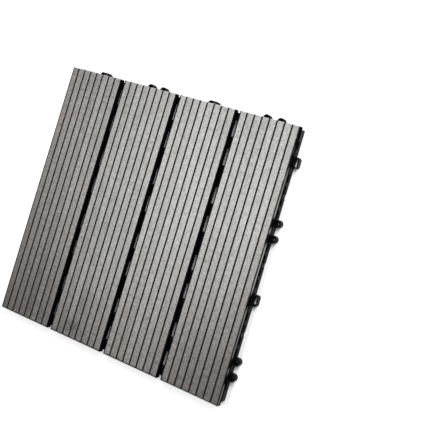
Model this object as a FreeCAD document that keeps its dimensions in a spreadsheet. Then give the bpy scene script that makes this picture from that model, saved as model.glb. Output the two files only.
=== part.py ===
import FreeCAD, Part
import os
import Sketcher

# Interlocking deck tile: grooved wood-plastic slats screwed from below to a moulded grid base.
# Millimetres, +Z up. The middle of the tile is x = y = 0 and its underside is z = 0.
# The slats run along Y. Loops and eyes stand out of the base on +X and +Y. The tongues and pegs
# that drop into a neighbour's loops and eyes hang in notches of the rim on -X and -Y.

Vector = FreeCAD.Vector

# Driving dimensions
SIZES = [
    # The top is a square of modules, one slat to a module.
    ("module_count", 4),
    ("module_pitch", 76.0),
    ("slat_gap", 5.0),
    # Slat section
    ("slat_thickness", 9.0),
    ("arris_radius", 1.2),
    ("heel_chamfer", 2.0),
    ("groove_count", 7),
    ("groove_pitch", 8.85),
    ("groove_width", 1.5),
    ("groove_depth", 1.5),
    ("middle_foot_width", 11.0),
    ("side_foot_width", 9.0),
    ("channel_depth", 2.5),
    ("channel_slope", 1.5),
    # Base: rim, ribs and the plates on top of the beams
    ("base_height", 13.0),
    ("rim_inset", 2.0),
    ("rim_wall", 2.0),
    ("rib_wall", 2.0),
    ("beam_plate", 2.0),
    ("narrow_beam", 13.5),
    ("wide_beam", 25.0),
    ("keel_width", 11.0),
    ("side_rib_offset", 22.5),
    # Windows and drain notches in the rim
    ("window_sill", 6.0),
    ("window_height", 4.5),
    ("window_width", 8.8),
    ("coupling_block", 27.0),
    ("border_post", 4.6),
    ("drain_width", 5.0),
    ("drain_height", 1.5),
    # Coupling between neighbouring tiles
    ("laying_gap", 1.0),
    ("coupling_count", 4),
    ("coupling_offset", 2.75),
    ("coupling_clearance", 0.2),
    ("loop_height", 8.0),
    ("loop_strap", 1.2),
    ("loop_cheek", 1.8),
    ("loop_corner", 1.8),
    ("slot_reach", 4.2),
    ("slot_length", 8.4),
    ("eye_spacing", 17.0),
    ("eye_hole_radius", 2.1),
    ("eye_wall", 1.95),
    ("notch_clearance", 0.7),
    ("arm_lift", 0.3),
    ("arm_height", 3.4),
    ("arm_margin", 0.9),
    ("peg_bottom", 1.0),
    # Screws and their holes
    ("screw_radius", 1.75),
    ("screw_head_radius", 3.6),
    ("screw_head_height", 2.2),
    ("screw_head_bevel", 0.8),
    ("screw_seat", 8.0),
    ("screw_bite", 5.5),
    ("screw_point", 2.0),
    ("screw_hole_clearance", 0.25),
    ("head_clearance", 0.6),
    ("pilot_clearance", 0.05),
    ("pilot_extra", 0.5),
]

# Distances that several features share, worked out from the driving dimensions
LAST_MODULE = "((Dims.module_count - 1) / 2 * Dims.module_pitch)"
HALF_MODULE = "(Dims.module_pitch / 2)"
HALF_TOP = "((Dims.module_count * Dims.module_pitch - Dims.slat_gap) / 2)"
RIM = f"({HALF_TOP} - Dims.rim_inset)"
RIM_INSIDE = f"({RIM} - Dims.rim_wall)"
RIM_MIDDLE = f"({RIM} - Dims.rim_wall / 2)"
LAYING_PITCH = f"(2 * {HALF_TOP} + Dims.laying_gap)"
COUPLING_PITCH = f"({LAYING_PITCH} / Dims.coupling_count)"
LAST_COUPLING = f"((Dims.coupling_count - 1) / 2 * {COUPLING_PITCH})"
SLOT_AXIS = f"({RIM} + Dims.coupling_offset)"
PEG_AXIS = f"({LAYING_PITCH} - {SLOT_AXIS})"
ARM_BOTTOM = "(Dims.loop_height + Dims.arm_lift)"
SLAT_WIDTH = "(Dims.module_pitch - Dims.slat_gap)"

doc = FreeCAD.newDocument("deck_tile")
sheet = doc.addObject("Spreadsheet::Sheet", "Dims")
for row, (alias, size) in enumerate(SIZES, start=1):
    sheet.set(f"A{row}", alias.replace("_", " "))
    sheet.set(f"B{row}", str(size))
    sheet.setAlias(f"B{row}", alias)
doc.recompute()


# Helpers for sketches: each line is drawn where it belongs and then dimensioned from the origin

def origin_feature(body, role):
    for feature in body.Origin.OriginFeatures:
        if feature.Role == role:
            return feature
    raise ValueError(role)


def add_sketch(body, name, plane, height=None):
    sketch = body.newObject("Sketcher::SketchObject", name)
    sketch.AttachmentSupport = [(origin_feature(body, plane), "")]
    sketch.MapMode = "FlatFace"
    if height:
        sketch.setExpression("AttachmentOffset.Base.z", height)
    return sketch


def at(sketch, across, up):
    """The point that two expressions give now."""
    return Vector(float(sketch.evalExpression(across)), float(sketch.evalExpression(up)), 0)


def constrain(sketch, constraint, expression):
    index = sketch.addConstraint(constraint)
    sketch.setExpression(f"Constraints[{index}]", expression)


def dimension(sketch, kind, geometry, point, expression):
    """Ties the distance of a point from the sketch's origin to an expression."""
    size = float(sketch.evalExpression(expression))
    constrain(sketch, Sketcher.Constraint(kind, -1, 1, geometry, point, size), expression)


def radius(sketch, geometry, expression):
    size = float(sketch.evalExpression(expression))
    constrain(sketch, Sketcher.Constraint("Radius", geometry, size), expression)


def add_rectangle(sketch, left, right, bottom, top):
    corners = [at(sketch, left, bottom), at(sketch, right, bottom),
               at(sketch, right, top), at(sketch, left, top)]
    first = sketch.GeometryCount
    for side in range(4):
        sketch.addGeometry(Part.LineSegment(corners[side], corners[(side + 1) % 4]), False)
    rules = []
    for side in range(4):
        following = first + (side + 1) % 4
        rules.append(Sketcher.Constraint("Coincident", first + side, 2, following, 1))
    for side in (0, 2):
        rules.append(Sketcher.Constraint("Horizontal", first + side))
        rules.append(Sketcher.Constraint("Vertical", first + side + 1))
    sketch.addConstraint(rules)
    dimension(sketch, "DistanceX", first, 1, left)
    dimension(sketch, "DistanceX", first + 1, 1, right)
    dimension(sketch, "DistanceY", first, 1, bottom)
    dimension(sketch, "DistanceY", first + 2, 1, top)


def add_circle(sketch, across, up, size):
    reach = float(sketch.evalExpression(size))
    middle = at(sketch, across, up)
    circle = sketch.addGeometry(Part.Circle(middle, Vector(0, 0, 1), reach), False)
    radius(sketch, circle, size)
    dimension(sketch, "DistanceX", circle, 3, across)
    dimension(sketch, "DistanceY", circle, 3, up)


def add_polygon(sketch, points):
    """Closed outline whose corners are pairs of expressions."""
    first = sketch.GeometryCount
    count = len(points)
    corners = [at(sketch, across, up) for across, up in points]
    for index in range(count):
        line = Part.LineSegment(corners[index], corners[(index + 1) % count])
        sketch.addGeometry(line, False)
    for index, (across, up) in enumerate(points):
        following = first + (index + 1) % count
        sketch.addConstraint(Sketcher.Constraint("Coincident", first + index, 2, following, 1))
        dimension(sketch, "DistanceX", first + index, 1, across)
        dimension(sketch, "DistanceY", first + index, 1, up)


def add_round_tab(sketch, root, axis, middle, size):
    """Tab along X from root that ends in a half circle around its axis."""
    centre = at(sketch, axis, middle)
    reach = float(sketch.evalExpression(size))
    start = at(sketch, root, middle)
    up = Vector(0, reach, 0)
    outward = 1 if centre.x > start.x else -1
    nose = Part.Arc(centre - up, centre + Vector(outward * reach, 0, 0), centre + up)
    first = sketch.addGeometry(Part.LineSegment(start - up, centre - up), False)
    sketch.addGeometry(nose, False)
    sketch.addGeometry(Part.LineSegment(centre + up, start + up), False)
    sketch.addGeometry(Part.LineSegment(start + up, start - up), False)
    low_end, high_end = (1, 2) if outward > 0 else (2, 1)
    sketch.addConstraint([
        Sketcher.Constraint("Tangent", first, 2, first + 1, low_end),
        Sketcher.Constraint("Tangent", first + 1, high_end, first + 2, 1),
        Sketcher.Constraint("Coincident", first + 2, 2, first + 3, 1),
        Sketcher.Constraint("Coincident", first + 3, 2, first, 1),
        Sketcher.Constraint("Horizontal", first),
        Sketcher.Constraint("Horizontal", first + 2),
        Sketcher.Constraint("Vertical", first + 3),
    ])
    dimension(sketch, "DistanceX", first, 1, root)
    dimension(sketch, "DistanceX", first + 1, 3, axis)
    dimension(sketch, "DistanceY", first + 1, 3, middle)
    dimension(sketch, "DistanceY", first, 1, f"{middle} - {size}")


# Helpers for features. Faces in one plane are merged once, by a body's last feature.

def add_pad(body, name, sketch, length):
    pad = body.newObject("PartDesign::Pad", name)
    pad.Profile = sketch
    pad.setExpression("Length", length)
    pad.Refine = False
    return pad


def add_pocket(body, name, sketch, depth, upward=False):
    pocket = body.newObject("PartDesign::Pocket", name)
    pocket.Profile = sketch
    pocket.setExpression("Length", depth)
    pocket.Reversed = upward
    pocket.Refine = False
    return pocket


def add_copies(body, name, feature, rows, turns=None):
    """Repeats a feature along rows of (axis, step, count) and then turned about Z."""
    pattern = body.newObject("PartDesign::MultiTransform", name)
    pattern.Originals = [feature]
    steps = []
    for axis, step, count in rows:
        line = body.newObject("PartDesign::LinearPattern", f"{name}_{axis[0]}")
        line.Direction = (origin_feature(body, axis), [""])
        line.Mode = "Spacing"
        line.setExpression("Offset", step)
        line.setExpression("Occurrences", count)
        steps.append(line)
    if turns:
        circle = body.newObject("PartDesign::PolarPattern", f"{name}_turned")
        circle.Axis = (origin_feature(body, "Z_Axis"), [""])
        circle.Angle, circle.Occurrences = turns
        steps.append(circle)
    pattern.Transformations = steps
    pattern.Refine = False
    body.Tip = pattern
    return pattern


def both_sides(near, far):
    """Spans at equal distances on both sides of zero."""
    return [(near, far), (f"-({far})", f"-({near})")]


FIRST_MODULE = f"(-{LAST_MODULE})"
FIRST_COUPLING = f"(-{LAST_COUPLING})"
FIRST_POST = f"({FIRST_COUPLING} + {COUPLING_PITCH} / 2)"
ACROSS_MODULES = ("X_Axis", "Dims.module_pitch", "Dims.module_count")
ALONG_MODULES = ("Y_Axis", "Dims.module_pitch", "Dims.module_count")
ALONG_COUPLINGS = ("Y_Axis", COUPLING_PITCH, "Dims.coupling_count")
ALONG_POSTS = ("Y_Axis", COUPLING_PITCH, "Dims.coupling_count - 1")
FULL_TURN = (360, 4)
QUARTER_TURN = (90, 2)


# Slats: extruded blank, sanded and grooved top, two channels between three feet underneath

def long_edges(shape, level):
    """Names of the two outer edges along Y at one height of the blank."""
    side = shape.BoundBox.XMax
    names = []
    for number, edge in enumerate(shape.Edges, start=1):
        box = edge.BoundBox
        at_side = abs(abs(box.Center.x) - side) < 1e-6
        if at_side and box.XLength < 1e-6 and abs(box.ZMin - level) < 1e-6 and box.ZLength < 1e-6:
            names.append(f"Edge{number}")
    return names


def add_section_cut(body, name, sketch):
    cut = body.newObject("PartDesign::Pocket", name)
    cut.Profile = sketch
    cut.Type = "ThroughAll"
    cut.SideType = "Symmetric"
    return cut


def add_grooves(body):
    first = "(-(Dims.groove_count - 1) / 2 * Dims.groove_pitch)"
    sketch = add_sketch(body, "groove_section", "XZ_Plane")
    add_rectangle(sketch,
                  f"{first} - Dims.groove_width / 2", f"{first} + Dims.groove_width / 2",
                  "Dims.slat_thickness - Dims.groove_depth", "Dims.slat_thickness")
    groove = add_section_cut(body, "groove", sketch)
    add_copies(body, "grooves", groove, [("X_Axis", "Dims.groove_pitch", "Dims.groove_count")])


def add_channels(body):
    near = "Dims.middle_foot_width / 2"
    far = f"({SLAT_WIDTH} / 2 - Dims.side_foot_width)"
    sketch = add_sketch(body, "channel_section", "XZ_Plane")
    for side in ("", "-"):
        add_polygon(sketch, [(f"{side}({near})", "0"), (f"{side}({far})", "0"),
                             (f"{side}({far} - Dims.channel_slope)", "Dims.channel_depth"),
                             (f"{side}({near} + Dims.channel_slope)", "Dims.channel_depth")])
    body.Tip = add_section_cut(body, "channels", sketch)


def add_pilots(body):
    sketch = add_sketch(body, "pilot_circle", "XY_Plane")
    add_circle(sketch, "0", FIRST_MODULE, "Dims.screw_radius + Dims.pilot_clearance")
    pilot = add_pocket(body, "pilot", sketch, "Dims.screw_bite + Dims.pilot_extra", upward=True)
    add_copies(body, "pilots", pilot, [ALONG_MODULES])


def make_slat(number):
    body = doc.addObject("PartDesign::Body", f"slat_{number}")
    body.Label = f"slat_{number}"
    section = add_sketch(body, "blank_section", "XZ_Plane")
    add_rectangle(section, f"-{SLAT_WIDTH} / 2", f"{SLAT_WIDTH} / 2", "0", "Dims.slat_thickness")
    blank = add_pad(body, "blank", section, f"2 * {HALF_TOP}")
    blank.SideType = "Symmetric"
    doc.recompute()

    arris = body.newObject("PartDesign::Fillet", "arris")
    arris.Base = (blank, long_edges(blank.Shape, blank.Shape.BoundBox.ZMax))
    arris.setExpression("Radius", "Dims.arris_radius")
    doc.recompute()

    heel = body.newObject("PartDesign::Chamfer", "heel")
    heel.Base = (arris, long_edges(arris.Shape, 0.0))
    heel.setExpression("Size", "Dims.heel_chamfer")
    body.Tip = heel

    add_grooves(body)
    add_channels(body)
    add_pilots(body)
    middle = f"({number} - (Dims.module_count + 1) / 2) * Dims.module_pitch"
    body.setExpression("Placement.Base.x", middle)
    body.setExpression("Placement.Base.z", "Dims.base_height")
    return body


# Base: one moulding. A block is opened from top to bottom between its beams, and each beam is
# hollowed from below, which leaves a plate on top and two ribs. One module is drawn and repeated.

SIDE_RIB_IN = "(Dims.side_rib_offset - Dims.rib_wall / 2)"
SIDE_RIB_OUT = "(Dims.side_rib_offset + Dims.rib_wall / 2)"
KEEL = "(Dims.keel_width / 2)"
KEEL_INSIDE = f"({KEEL} - Dims.rib_wall)"
NARROW = "(Dims.narrow_beam / 2)"
NARROW_INSIDE = f"({NARROW} - Dims.rib_wall)"
WIDE = f"({HALF_MODULE} - Dims.wide_beam / 2)"
WIDE_INSIDE = f"({WIDE} + Dims.rib_wall)"
BORDER_WEB = f"({HALF_MODULE} - Dims.rib_wall / 2)"


def in_first_module(spans):
    return [(f"{FIRST_MODULE} + {low}", f"{FIRST_MODULE} + {high}") for low, high in spans]


def add_cells(body, name, groups, depth):
    """Pockets one module's cells and repeats them over the tile."""
    sketch = add_sketch(body, f"{name}_plan", "XY_Plane")
    for across, along in groups:
        for left, right in in_first_module(across):
            for low, high in in_first_module(along):
                add_rectangle(sketch, left, right, low, high)
    cell = add_pocket(body, name, sketch, depth, upward=True)
    add_copies(body, f"{name}_rows", cell, [ACROSS_MODULES, ALONG_MODULES])


def add_grid_cells(body):
    keel = [(f"-{KEEL_INSIDE}", KEEL_INSIDE)]
    bays = both_sides(KEEL, SIDE_RIB_IN)
    gaps = both_sides(SIDE_RIB_OUT, HALF_MODULE)
    split_gaps = both_sides(SIDE_RIB_OUT, BORDER_WEB)
    open_bands = both_sides(NARROW, WIDE)
    narrow_band = [(f"-{NARROW_INSIDE}", NARROW_INSIDE)]
    wide_bands = both_sides(WIDE_INSIDE, HALF_MODULE)
    add_cells(body, "open_cells", [(bays + gaps, open_bands)], "Dims.base_height")
    add_cells(body, "hollows",
              [(keel, open_bands), (bays + gaps, narrow_band), (keel + bays + split_gaps, wide_bands)],
              "Dims.base_height - Dims.beam_plate")


def add_rim_openings(body, name, middle, spans, low, high, row):
    """Openings through one rim wall, repeated along it and on all four sides."""
    sketch = add_sketch(body, f"{name}_outline", "YZ_Plane", RIM)
    for left, right in spans:
        add_rectangle(sketch, f"{middle} + {left}", f"{middle} + {right}", low, high)
    opening = add_pocket(body, name, sketch, "Dims.rim_wall")
    add_copies(body, f"{name}_rows", opening, [row], FULL_TURN)


def add_rim_windows(body):
    sill = "Dims.window_sill"
    head = "Dims.window_sill + Dims.window_height"
    block = "Dims.coupling_block / 2"
    post = "Dims.border_post / 2"
    drain = "Dims.drain_width / 2"
    add_rim_openings(body, "block_window", FIRST_COUPLING,
                     both_sides(block, f"{block} + Dims.window_width"), sill, head, ALONG_COUPLINGS)
    add_rim_openings(body, "post_window", FIRST_POST,
                     both_sides(post, f"{post} + Dims.window_width"), sill, head, ALONG_POSTS)
    add_rim_openings(body, "drain_notch", FIRST_POST,
                     [(f"-{drain}", drain)], "0", "Dims.drain_height", ALONG_POSTS)


# Couplings divide the laying pitch evenly. Wide ones and pairs take turns along a side, from its
# high end. The next side follows a quarter turn round.

def coupling_middles():
    count = int(sheet.get("coupling_count"))
    places = [f"({LAST_COUPLING} - {index} * {COUPLING_PITCH})" for index in range(count)]
    return places[0::2], places[1::2]


def pair(middle):
    return [f"({middle} - Dims.eye_spacing / 2)", f"({middle} + Dims.eye_spacing / 2)"]


def couplings_sketch(body, name, bottom, draw_wide, draw_one_of_pair):
    """One side's couplings of one kind, seen from above."""
    sketch = add_sketch(body, f"{name}_outline", "XY_Plane", bottom)
    wide_middles, pair_middles = coupling_middles()
    for middle in wide_middles:
        draw_wide(sketch, middle)
    for middle in pair_middles:
        for centre in pair(middle):
            draw_one_of_pair(sketch, centre)
    return sketch


LOOP_HALF = "(Dims.slot_length / 2 + Dims.loop_cheek)"
EYE_RADIUS = "(Dims.eye_hole_radius + Dims.eye_wall)"


def draw_loop(sketch, middle):
    half_slot = "(Dims.slot_length / 2)"
    low, high = f"{middle} - {LOOP_HALF}", f"{middle} + {LOOP_HALF}"
    tip = f"({SLOT_AXIS} + Dims.slot_reach / 2 + Dims.loop_strap)"
    cut = "Dims.loop_corner"
    add_polygon(sketch, [(RIM_MIDDLE, low), (f"{tip} - {cut}", low), (tip, f"{low} + {cut}"),
                         (tip, f"{high} - {cut}"), (f"{tip} - {cut}", high), (RIM_MIDDLE, high)])
    add_rectangle(sketch,
                  f"{SLOT_AXIS} - Dims.slot_reach / 2", f"{SLOT_AXIS} + Dims.slot_reach / 2",
                  f"{middle} - {half_slot}", f"{middle} + {half_slot}")


def draw_eye(sketch, middle):
    add_round_tab(sketch, RIM_MIDDLE, SLOT_AXIS, middle, EYE_RADIUS)
    add_circle(sketch, SLOT_AXIS, middle, "Dims.eye_hole_radius")


TONGUE_HALF_REACH = "(Dims.slot_reach / 2 - Dims.coupling_clearance)"
TONGUE_HALF_LENGTH = "(Dims.slot_length / 2 - Dims.coupling_clearance)"
PEG_RADIUS = "(Dims.eye_hole_radius - Dims.coupling_clearance)"


def draw_tongue_arm(sketch, middle):
    half = f"({TONGUE_HALF_LENGTH} + Dims.arm_margin)"
    tip = f"(-{PEG_AXIS} - {TONGUE_HALF_REACH})"
    add_rectangle(sketch, tip, f"-{RIM_MIDDLE}", f"{middle} - {half}", f"{middle} + {half}")


def draw_peg_arm(sketch, middle):
    add_round_tab(sketch, f"-{RIM_MIDDLE}", f"-{PEG_AXIS}", middle, PEG_RADIUS)


def draw_tongue(sketch, middle):
    add_rectangle(sketch,
                  f"-{PEG_AXIS} - {TONGUE_HALF_REACH}", f"-{PEG_AXIS} + {TONGUE_HALF_REACH}",
                  f"{middle} - {TONGUE_HALF_LENGTH}", f"{middle} + {TONGUE_HALF_LENGTH}")


def draw_peg(sketch, middle):
    add_circle(sketch, f"-{PEG_AXIS}", middle, PEG_RADIUS)


def draw_notch(sketch, middle, half):
    reach = f"({half} + Dims.notch_clearance)"
    add_rectangle(sketch, f"-{RIM}", f"-{RIM_INSIDE}", f"{middle} - {reach}", f"{middle} + {reach}")


def draw_loop_notch(sketch, middle):
    draw_notch(sketch, middle, LOOP_HALF)


def draw_eye_notch(sketch, middle):
    draw_notch(sketch, middle, EYE_RADIUS)


def add_couplings(body):
    notches = couplings_sketch(body, "notch", None, draw_loop_notch, draw_eye_notch)
    cut = add_pocket(body, "notch", notches, ARM_BOTTOM, upward=True)
    add_copies(body, "notches", cut, [], QUARTER_TURN)
    for name, bottom, height, draw_wide, draw_one_of_pair in (
            ("loop", None, "Dims.loop_height", draw_loop, draw_eye),
            ("arm", ARM_BOTTOM, "Dims.arm_height", draw_tongue_arm, draw_peg_arm),
            ("peg", "Dims.peg_bottom", f"{ARM_BOTTOM} + Dims.arm_height - Dims.peg_bottom",
             draw_tongue, draw_peg)):
        sketch = couplings_sketch(body, name, bottom, draw_wide, draw_one_of_pair)
        feature = add_pad(body, name, sketch, height)
        add_copies(body, f"{name}s", feature, [], QUARTER_TURN)


def add_screw_holes(body):
    """Through hole and head recess in the solid block where keel and narrow beam cross."""
    for name, size, depth in (
            ("screw_hole", "Dims.screw_radius + Dims.screw_hole_clearance", "Dims.base_height"),
            ("head_recess", "Dims.screw_head_radius + Dims.head_clearance", "Dims.screw_seat")):
        sketch = add_sketch(body, f"{name}_circle", "XY_Plane")
        add_circle(sketch, FIRST_MODULE, FIRST_MODULE, size)
        hole = add_pocket(body, name, sketch, depth, upward=True)
        add_copies(body, f"{name}_rows", hole, [ACROSS_MODULES, ALONG_MODULES])


def make_rim():
    """Wall round the grid with its windows and couplings. It closes the cells at the edge."""
    body = doc.addObject("PartDesign::Body", "rim")
    plan = add_sketch(body, "rim_plan", "XY_Plane")
    add_rectangle(plan, f"-{RIM}", RIM, f"-{RIM}", RIM)
    add_rectangle(plan, f"-{RIM_INSIDE}", RIM_INSIDE, f"-{RIM_INSIDE}", RIM_INSIDE)
    add_pad(body, "wall", plan, "Dims.base_height")
    add_rim_windows(body)
    add_couplings(body)
    return body


def make_base():
    body = doc.addObject("PartDesign::Body", "base_grid")
    body.Label = "base_grid"
    plan = add_sketch(body, "block_plan", "XY_Plane")
    add_rectangle(plan, f"-{RIM_INSIDE}", RIM_INSIDE, f"-{RIM_INSIDE}", RIM_INSIDE)
    add_pad(body, "block", plan, "Dims.base_height")
    add_screw_holes(body)
    add_grid_cells(body)
    joined = body.newObject("PartDesign::Boolean", "grid_and_rim")
    joined.Type = "Fuse"
    joined.setObjects([make_rim()])
    body.Tip = joined
    return body


# Screws: pan head below, shank through the base, point in the slat. All are in one group.

def make_screws():
    body = doc.addObject("PartDesign::Body", "deck_screws")
    body.Label = "deck_screws"
    body.AllowCompound = True
    sketch = add_sketch(body, "screw_profile", "XZ_Plane")
    sketch.setExpression("AttachmentOffset.Base.x", FIRST_MODULE)
    sketch.setExpression("AttachmentOffset.Base.z", f"-{FIRST_MODULE}")
    head_low = "(Dims.screw_seat - Dims.screw_head_height)"
    tip = "(Dims.base_height + Dims.screw_bite)"
    add_polygon(sketch, [("0", head_low),
                         ("Dims.screw_head_radius - Dims.screw_head_bevel", head_low),
                         ("Dims.screw_head_radius", f"{head_low} + Dims.screw_head_bevel"),
                         ("Dims.screw_head_radius", "Dims.screw_seat"),
                         ("Dims.screw_radius", "Dims.screw_seat"),
                         ("Dims.screw_radius", f"{tip} - Dims.screw_point"),
                         ("0", tip)])
    screw = body.newObject("PartDesign::Revolution", "screw")
    screw.Profile = sketch
    screw.ReferenceAxis = (sketch, ["V_Axis"])
    screw.Angle = 360
    add_copies(body, "screws", screw, [ACROSS_MODULES, ALONG_MODULES])
    return body


sub_parts = [make_base()]
for number in range(1, int(sheet.get("module_count")) + 1):
    sub_parts.append(make_slat(number))
sub_parts.append(make_screws())
doc.recompute()

for item in doc.Objects:
    if "Invalid" in item.State or "Error" in item.State:
        raise RuntimeError(f"{item.Label} failed: {item.State}")

os.makedirs("parts", exist_ok=True)
for part in sub_parts:
    shape = part.Shape
    if shape.isNull() or not shape.isValid():
        raise RuntimeError(f"{part.Label} has no valid shape")
    shape.exportStep(f"parts/{part.Label}.step")
    box = shape.BoundBox
    print(f"{part.Label}: {len(shape.Solids)} solid(s), {shape.Volume / 1000:.2f} cm3,",
          f"x {box.XMin:.2f}..{box.XMax:.2f}, y {box.YMin:.2f}..{box.YMax:.2f},",
          f"z {box.ZMin:.2f}..{box.ZMax:.2f}")
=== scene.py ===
# %% [markdown]
# # Interlocking deck tile
#
# A deck tile is four grooved slats of wood-plastic composite on a black moulded grid, held from
# below by sixteen screws. The CAD model gives the exact places and sizes. This script makes the
# picture: finer meshes for the slats, rounded edges on the moulding, driver recesses in the screws,
# a material built from nodes for each surface, a camera and light.

import math

import bmesh
import bpy
import numpy as np
from mathutils import Matrix, Vector


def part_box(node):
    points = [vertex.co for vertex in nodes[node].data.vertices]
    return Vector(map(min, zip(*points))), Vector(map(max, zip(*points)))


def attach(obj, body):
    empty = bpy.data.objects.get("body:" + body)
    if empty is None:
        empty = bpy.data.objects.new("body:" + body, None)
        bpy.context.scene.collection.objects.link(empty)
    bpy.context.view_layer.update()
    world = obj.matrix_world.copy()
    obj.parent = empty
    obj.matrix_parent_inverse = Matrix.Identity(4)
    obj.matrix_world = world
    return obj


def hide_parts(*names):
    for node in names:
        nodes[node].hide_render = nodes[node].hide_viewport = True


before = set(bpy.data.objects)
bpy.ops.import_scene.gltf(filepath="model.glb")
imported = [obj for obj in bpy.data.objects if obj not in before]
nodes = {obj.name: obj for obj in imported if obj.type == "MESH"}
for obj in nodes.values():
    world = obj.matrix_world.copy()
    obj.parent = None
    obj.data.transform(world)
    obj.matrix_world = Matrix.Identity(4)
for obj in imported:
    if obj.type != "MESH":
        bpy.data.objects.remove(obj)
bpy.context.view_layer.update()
print("nodes:", sorted(nodes))

# %% [markdown]
# ## Units and two measures
#
# Sizes below are in millimetres, because that is how a maker measures a tile. Blender works in
# metres, so they are multiplied by one constant where they are used. Two measures come up again and
# again: how far the outer walls stand from the middle of the tile, and how high the tops of the
# slats lie. They could be typed in, but they are read from the CAD model, so that they can't differ
# from it.

# %% Units and two measures
MM = 0.001

slat_names = [name for name in sorted(nodes) if name.startswith("slat_")]
WALL_ACROSS = max(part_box(name)[1].x for name in slat_names) / MM
TOP_UP = max(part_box(name)[1].z for name in slat_names) / MM
print("walls at", round(WALL_ACROSS, 2), "mm from the middle, tops at", round(TOP_UP, 2), "mm")

# %% [markdown]
# ## Colours
#
# Colours are written as the hex codes that a picture editor shows. Blender mixes light in linear
# values, in which twice the number is twice the light. Its colour picker converts a hex code that
# is typed there. A script has to do it by itself, so one function converts.

# %% Colours
def linear(hex_code):
    """Linear RGBA of an sRGB hex colour."""
    values = []
    for start in (0, 2, 4):
        channel = int(hex_code[start:start + 2], 16) / 255
        if channel <= 0.04045:
            values.append(channel / 12.92)
        else:
            values.append(((channel + 0.055) / 1.055) ** 2.4)
    return (*values, 1.0)


print("mid grey 808080 is", round(linear("808080")[0], 3), "in linear light")

# %% [markdown]
# ## One way to add a node
#
# A material is a graph of nodes. Clicking it together is slow to repeat, so one small function adds
# a node of any kind, writes its settings and fills its inputs. An input that is given a socket is
# linked to it, and any other value is written on the input itself. The function returns an output
# socket, so each line of a material can feed the next.

# %% Node helper
def add(tree, kind, inputs=None, output=0, **settings):
    """A new node with these settings and inputs. Returns the output of this name or number."""
    node = tree.nodes.new(kind)
    for key, setting in settings.items():
        setattr(node, key, setting)
    for key, value in (inputs or {}).items():
        if isinstance(value, bpy.types.NodeSocket):
            tree.links.new(value, node.inputs[key])
        else:
            node.inputs[key].default_value = value
    return node.outputs[output] if node.outputs else None


def new_material(name):
    """An empty material and its tree of nodes."""
    material = bpy.data.materials.new(name)
    material.use_nodes = True
    material.node_tree.nodes.clear()
    return material, material.node_tree


kinds = [kind for kind in dir(bpy.types) if kind.startswith("ShaderNode")]
print("about", len(kinds), "kinds of shader node to choose from")

# %% [markdown]
# ## Patterns with real sizes
#
# Grain, dust and scratches have sizes that can be measured with a ruler. Noise in Blender has cells
# about one unit wide. Stretching the object's coordinates first makes those cells as many
# millimetres wide as asked along X, Y and Z. Most values of the noise lie between 0.3 and 0.7, so
# that span is stretched to the range that is wanted. A narrower span high up leaves only the peaks,
# which makes patches and flecks.

# %% Noise with real sizes
NOISE_SPAN = (0.3, 0.7)


def pattern(tree, place, sizes_mm, span=NOISE_SPAN, to=(0.0, 1.0), detail=3.0, rough=0.6):
    """Noise with cells of these sizes. Values in span are stretched to the range in to."""
    scale = tuple(1 / (size * MM) for size in sizes_mm)
    cells = add(tree, "ShaderNodeMapping", {"Vector": place, "Scale": scale})
    noise = add(tree, "ShaderNodeTexNoise",
                {"Vector": cells, "Scale": 1.0, "Detail": detail, "Roughness": rough})
    return add(tree, "ShaderNodeMapRange",
               {"Value": noise, "From Min": span[0], "From Max": span[1],
                "To Min": to[0], "To Max": to[1]})


print("cells 2 mm wide need coordinates scaled by", round(1 / (2 * MM)))

# %% [markdown]
# ## Soft spots
#
# A stain or a bleached place sits in one spot on the tile. It could be painted on an image, but a
# formula needs no image and has no pixels: the distance from the centre, measured in reaches along
# X, Y and Z, is turned into a value that falls smoothly to nothing at the edge. A reach far longer
# than the tile makes a band instead of an oval.

# %% Soft spots
def soft_spot(tree, place, centre_mm, reach_mm, peak):
    """peak in the middle of an oval, falling smoothly to 0 at its edge."""
    centred = add(tree, "ShaderNodeVectorMath",
                  {0: place, 1: tuple(value * MM for value in centre_mm)}, operation="SUBTRACT")
    scale = tuple(1 / (reach * MM) for reach in reach_mm)
    scaled = add(tree, "ShaderNodeVectorMath", {0: centred, 1: scale}, operation="MULTIPLY")
    distance = add(tree, "ShaderNodeVectorMath", {0: scaled}, output="Value", operation="LENGTH")
    return add(tree, "ShaderNodeMapRange",
               {"Value": distance, "From Min": 1.0, "From Max": 0.0, "To Min": 0.0, "To Max": peak},
               interpolation_type="SMOOTHSTEP")


# A smooth step rises as three squares less two cubes
halfway = 3 * 0.5 ** 2 - 2 * 0.5 ** 3
print("halfway to its edge a spot has", halfway, "of its peak")

# %% [markdown]
# ## Sanded tops and painted light
#
# Wood-plastic composite is ground wood in a plastic binder. A slat leaves the extrusion die with a
# dark, closed skin. A belt sander then runs along it and takes the skin off the ribs, so their tops
# are pale and matte, and sunlight bleaches them further. A photograph could be laid over the mesh,
# but it would be as sharp or as blurred as its pixels, and noise stays sharp at any distance. This
# tile is palest right of its middle, and one wide soft spot paints that into the colour as a pool
# of light: painted light. A weak one lifts a place on the second slat. Clouds of a few centimetres
# and a tone for each rib make it uneven, and the binder adds faint warm and green tints.

# %% Pale colour with painted light
# The Mix node has inputs for several kinds of value, so its colours are found by their number
COLOUR_A, COLOUR_B, MIXED = 6, 7, 2
BLEACHED_AND_LIT = linear("B7B8B6")
WORN_AND_SHADED = linear("615A57")
# Centre, reach and strength of each spot: the wide one is painted light, the weak one a paler place
PAINTED_LIGHT_AND_PALE_SPOTS = (((51, 60), (334, 308, 900), 1.0), ((-25, -78), (70, 90, 900), 0.11))
RIB_TONE = "rib_tone"
RIB_SHARE = 0.07
CLOUD_SHARE = 0.06
# Cell sizes, span of the noise, strength and colour of each tint
BINDER_TINTS = (((45, 70, 45), (0.5, 0.72), 0.16, "A08C80"),
                ((60, 40, 45), (0.5, 0.75), 0.14, "9AA092"))


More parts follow.
